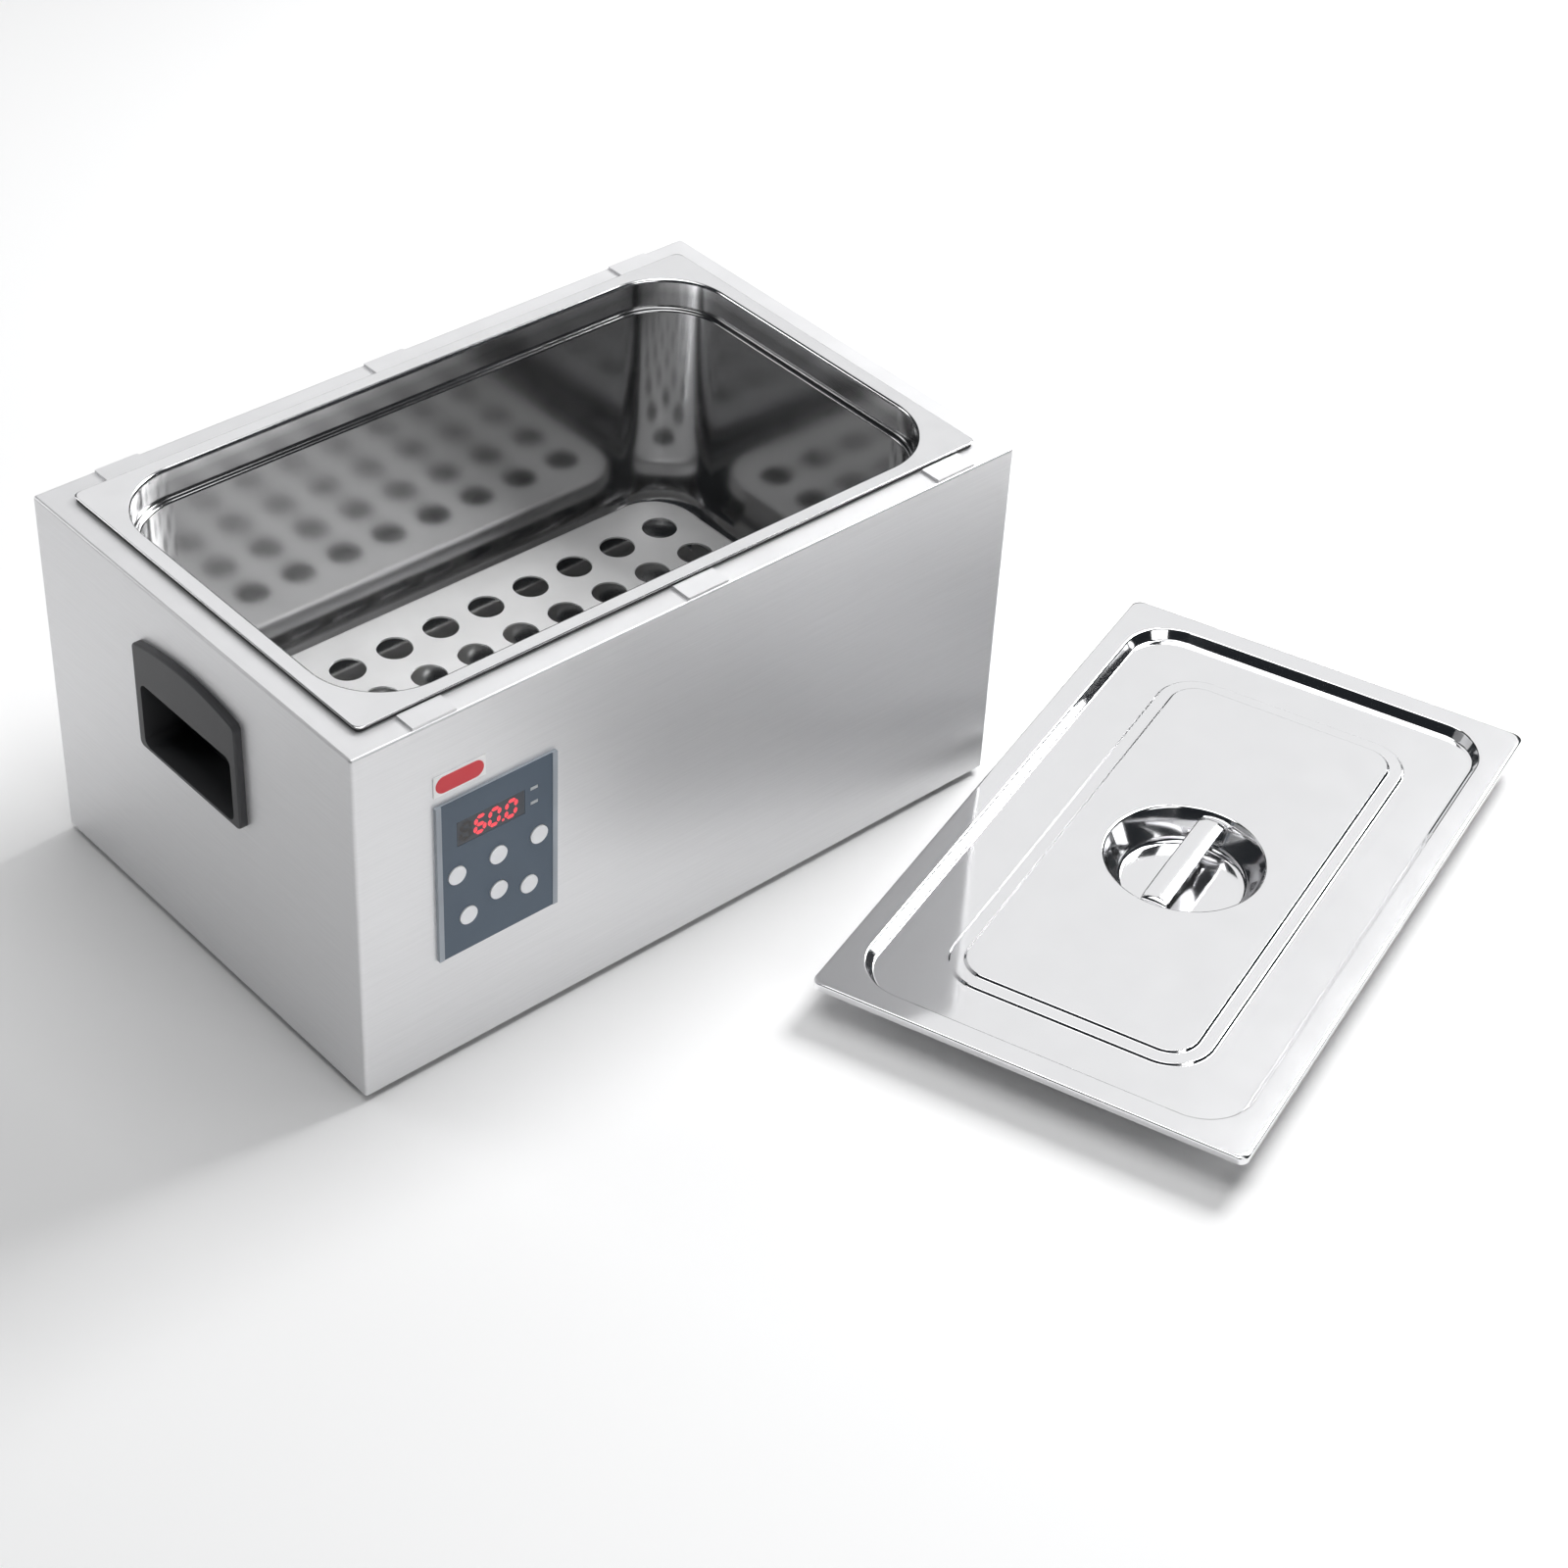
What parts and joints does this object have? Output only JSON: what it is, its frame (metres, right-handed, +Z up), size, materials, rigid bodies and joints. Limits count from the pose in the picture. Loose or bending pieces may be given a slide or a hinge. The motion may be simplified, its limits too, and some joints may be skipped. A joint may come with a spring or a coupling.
{
  "type": "sous vide water bath",
  "caption": "Countertop sous vide water bath: drawn steel tank in a folded casing, perforated false bottom, keypad with display, recessed grips and a separate lid with a sunk strap handle.",
  "frame": {"origin": "centre of the bath's footprint on the floor, under the middle of its four feet", "axes": "+X along the bath's long side, +Z up, and the control panel faces -Y; the left grip faces -X"},
  "size_m": [0.8994, 0.7917, 0.294],
  "materials": {
    "brushed": "brushed",
    "polished": "polished",
    "zinc": "galvanised",
    "black_plastic": "moulded",
    "grey_plastic": "satin",
    "membrane": "satin film",
    "lens": "clear dark red",
    "key": "satin metallised",
    "lamp": "translucent",
    "rubber": "matte",
    "seal": "silicone",
    "mat": "silicone",
    "felt": "felt",
    "board": "solder mask",
    "badge": "satin",
    "sink": "extruded",
    "brass": "plain",
    "copper_sleeve": "insulation"
  },
  "bodies": {
    "bath": {"back_heater": "mat", "base_insulation": "felt", "base_plate": "zinc", "base_screws": "brushed", "blank_badge": "badge", "board_spacers": "grey_plastic", "bottom_heater": "mat", "buzzer": "black_plastic", "capillary": "brushed", "control_board": "board", "display_module": "black_plastic", "display_window": "lens", "earth_stud": "brass", "foot_back_left": "rubber", "foot_back_right": "rubber", "foot_front_left": "rubber", "foot_front_right": "rubber", "foot_screws": "brushed", "front_heater": "mat", "handle_left": "black_plastic", "handle_right": "black_plastic", "handle_screws": "brushed", "heat_sink": "sink", "heater_lead": "copper_sleeve", "indicator_lamps": "lamp", "inlet_screws": "brushed", "mains_inlet": "black_plastic", "mains_lead": "copper_sleeve", "membrane_overlay": "membrane", "outer_casing": "brushed", "panel_frame": "grey_plastic", "panel_lead": "copper_sleeve", "power_board": "board", "probe_clamp": "brushed", "rim_gasket": "seal", "rim_tab_back_left": "brushed", "rim_tab_back_middle": "brushed", "rim_tab_back_right": "brushed", "rim_tab_front_left": "brushed", "rim_tab_front_middle": "brushed", "rim_tab_front_right": "brushed", "safety_thermostat": "black_plastic", "solid_state_relay": "black_plastic", "tact_switches": "board", "tank": "polished", "tank_insulation": "felt", "temperature_probe": "brushed", "terminal_block": "black_plastic", "thermostat_bulb": "brushed", "transformer": "black_plastic"},
    "lid": {"lid_pan": "polished", "lid_handle": "brushed"},
    "plate": {"false_bottom": "polished"},
    "key_temperature_cap": {"key_temperature": "key"},
    "key_timer_cap": {"key_timer": "key"},
    "key_start_cap": {"key_start": "key"},
    "key_minus_cap": {"key_minus": "key"},
    "key_set_cap": {"key_set": "key"},
    "key_plus_cap": {"key_plus": "key"}
  },
  "joints": [
    {"name": "lid_lift", "type": "slide", "parent": "bath", "child": "lid", "axis": [0, 0, 1], "range_m": [0, 0.4]},
    {"name": "plate_lift", "type": "slide", "parent": "bath", "child": "plate", "axis": [0, 0, 1], "range_m": [0, 0.3]},
    {"name": "key_temperature_press", "type": "slide", "parent": "bath", "child": "key_temperature_cap", "axis": [0, 1, 0], "range_m": [0, 0.0004], "stiffness_N_per_m": 1500},
    {"name": "key_timer_press", "type": "slide", "parent": "bath", "child": "key_timer_cap", "axis": [0, 1, 0], "range_m": [0, 0.0004], "stiffness_N_per_m": 1500},
    {"name": "key_start_press", "type": "slide", "parent": "bath", "child": "key_start_cap", "axis": [0, 1, 0], "range_m": [0, 0.0004], "stiffness_N_per_m": 1500},
    {"name": "key_minus_press", "type": "slide", "parent": "bath", "child": "key_minus_cap", "axis": [0, 1, 0], "range_m": [0, 0.0004], "stiffness_N_per_m": 1500},
    {"name": "key_set_press", "type": "slide", "parent": "bath", "child": "key_set_cap", "axis": [0, 1, 0], "range_m": [0, 0.0004], "stiffness_N_per_m": 1500},
    {"name": "key_plus_press", "type": "slide", "parent": "bath", "child": "key_plus_cap", "axis": [0, 1, 0], "range_m": [0, 0.0004], "stiffness_N_per_m": 1500}
  ]
}
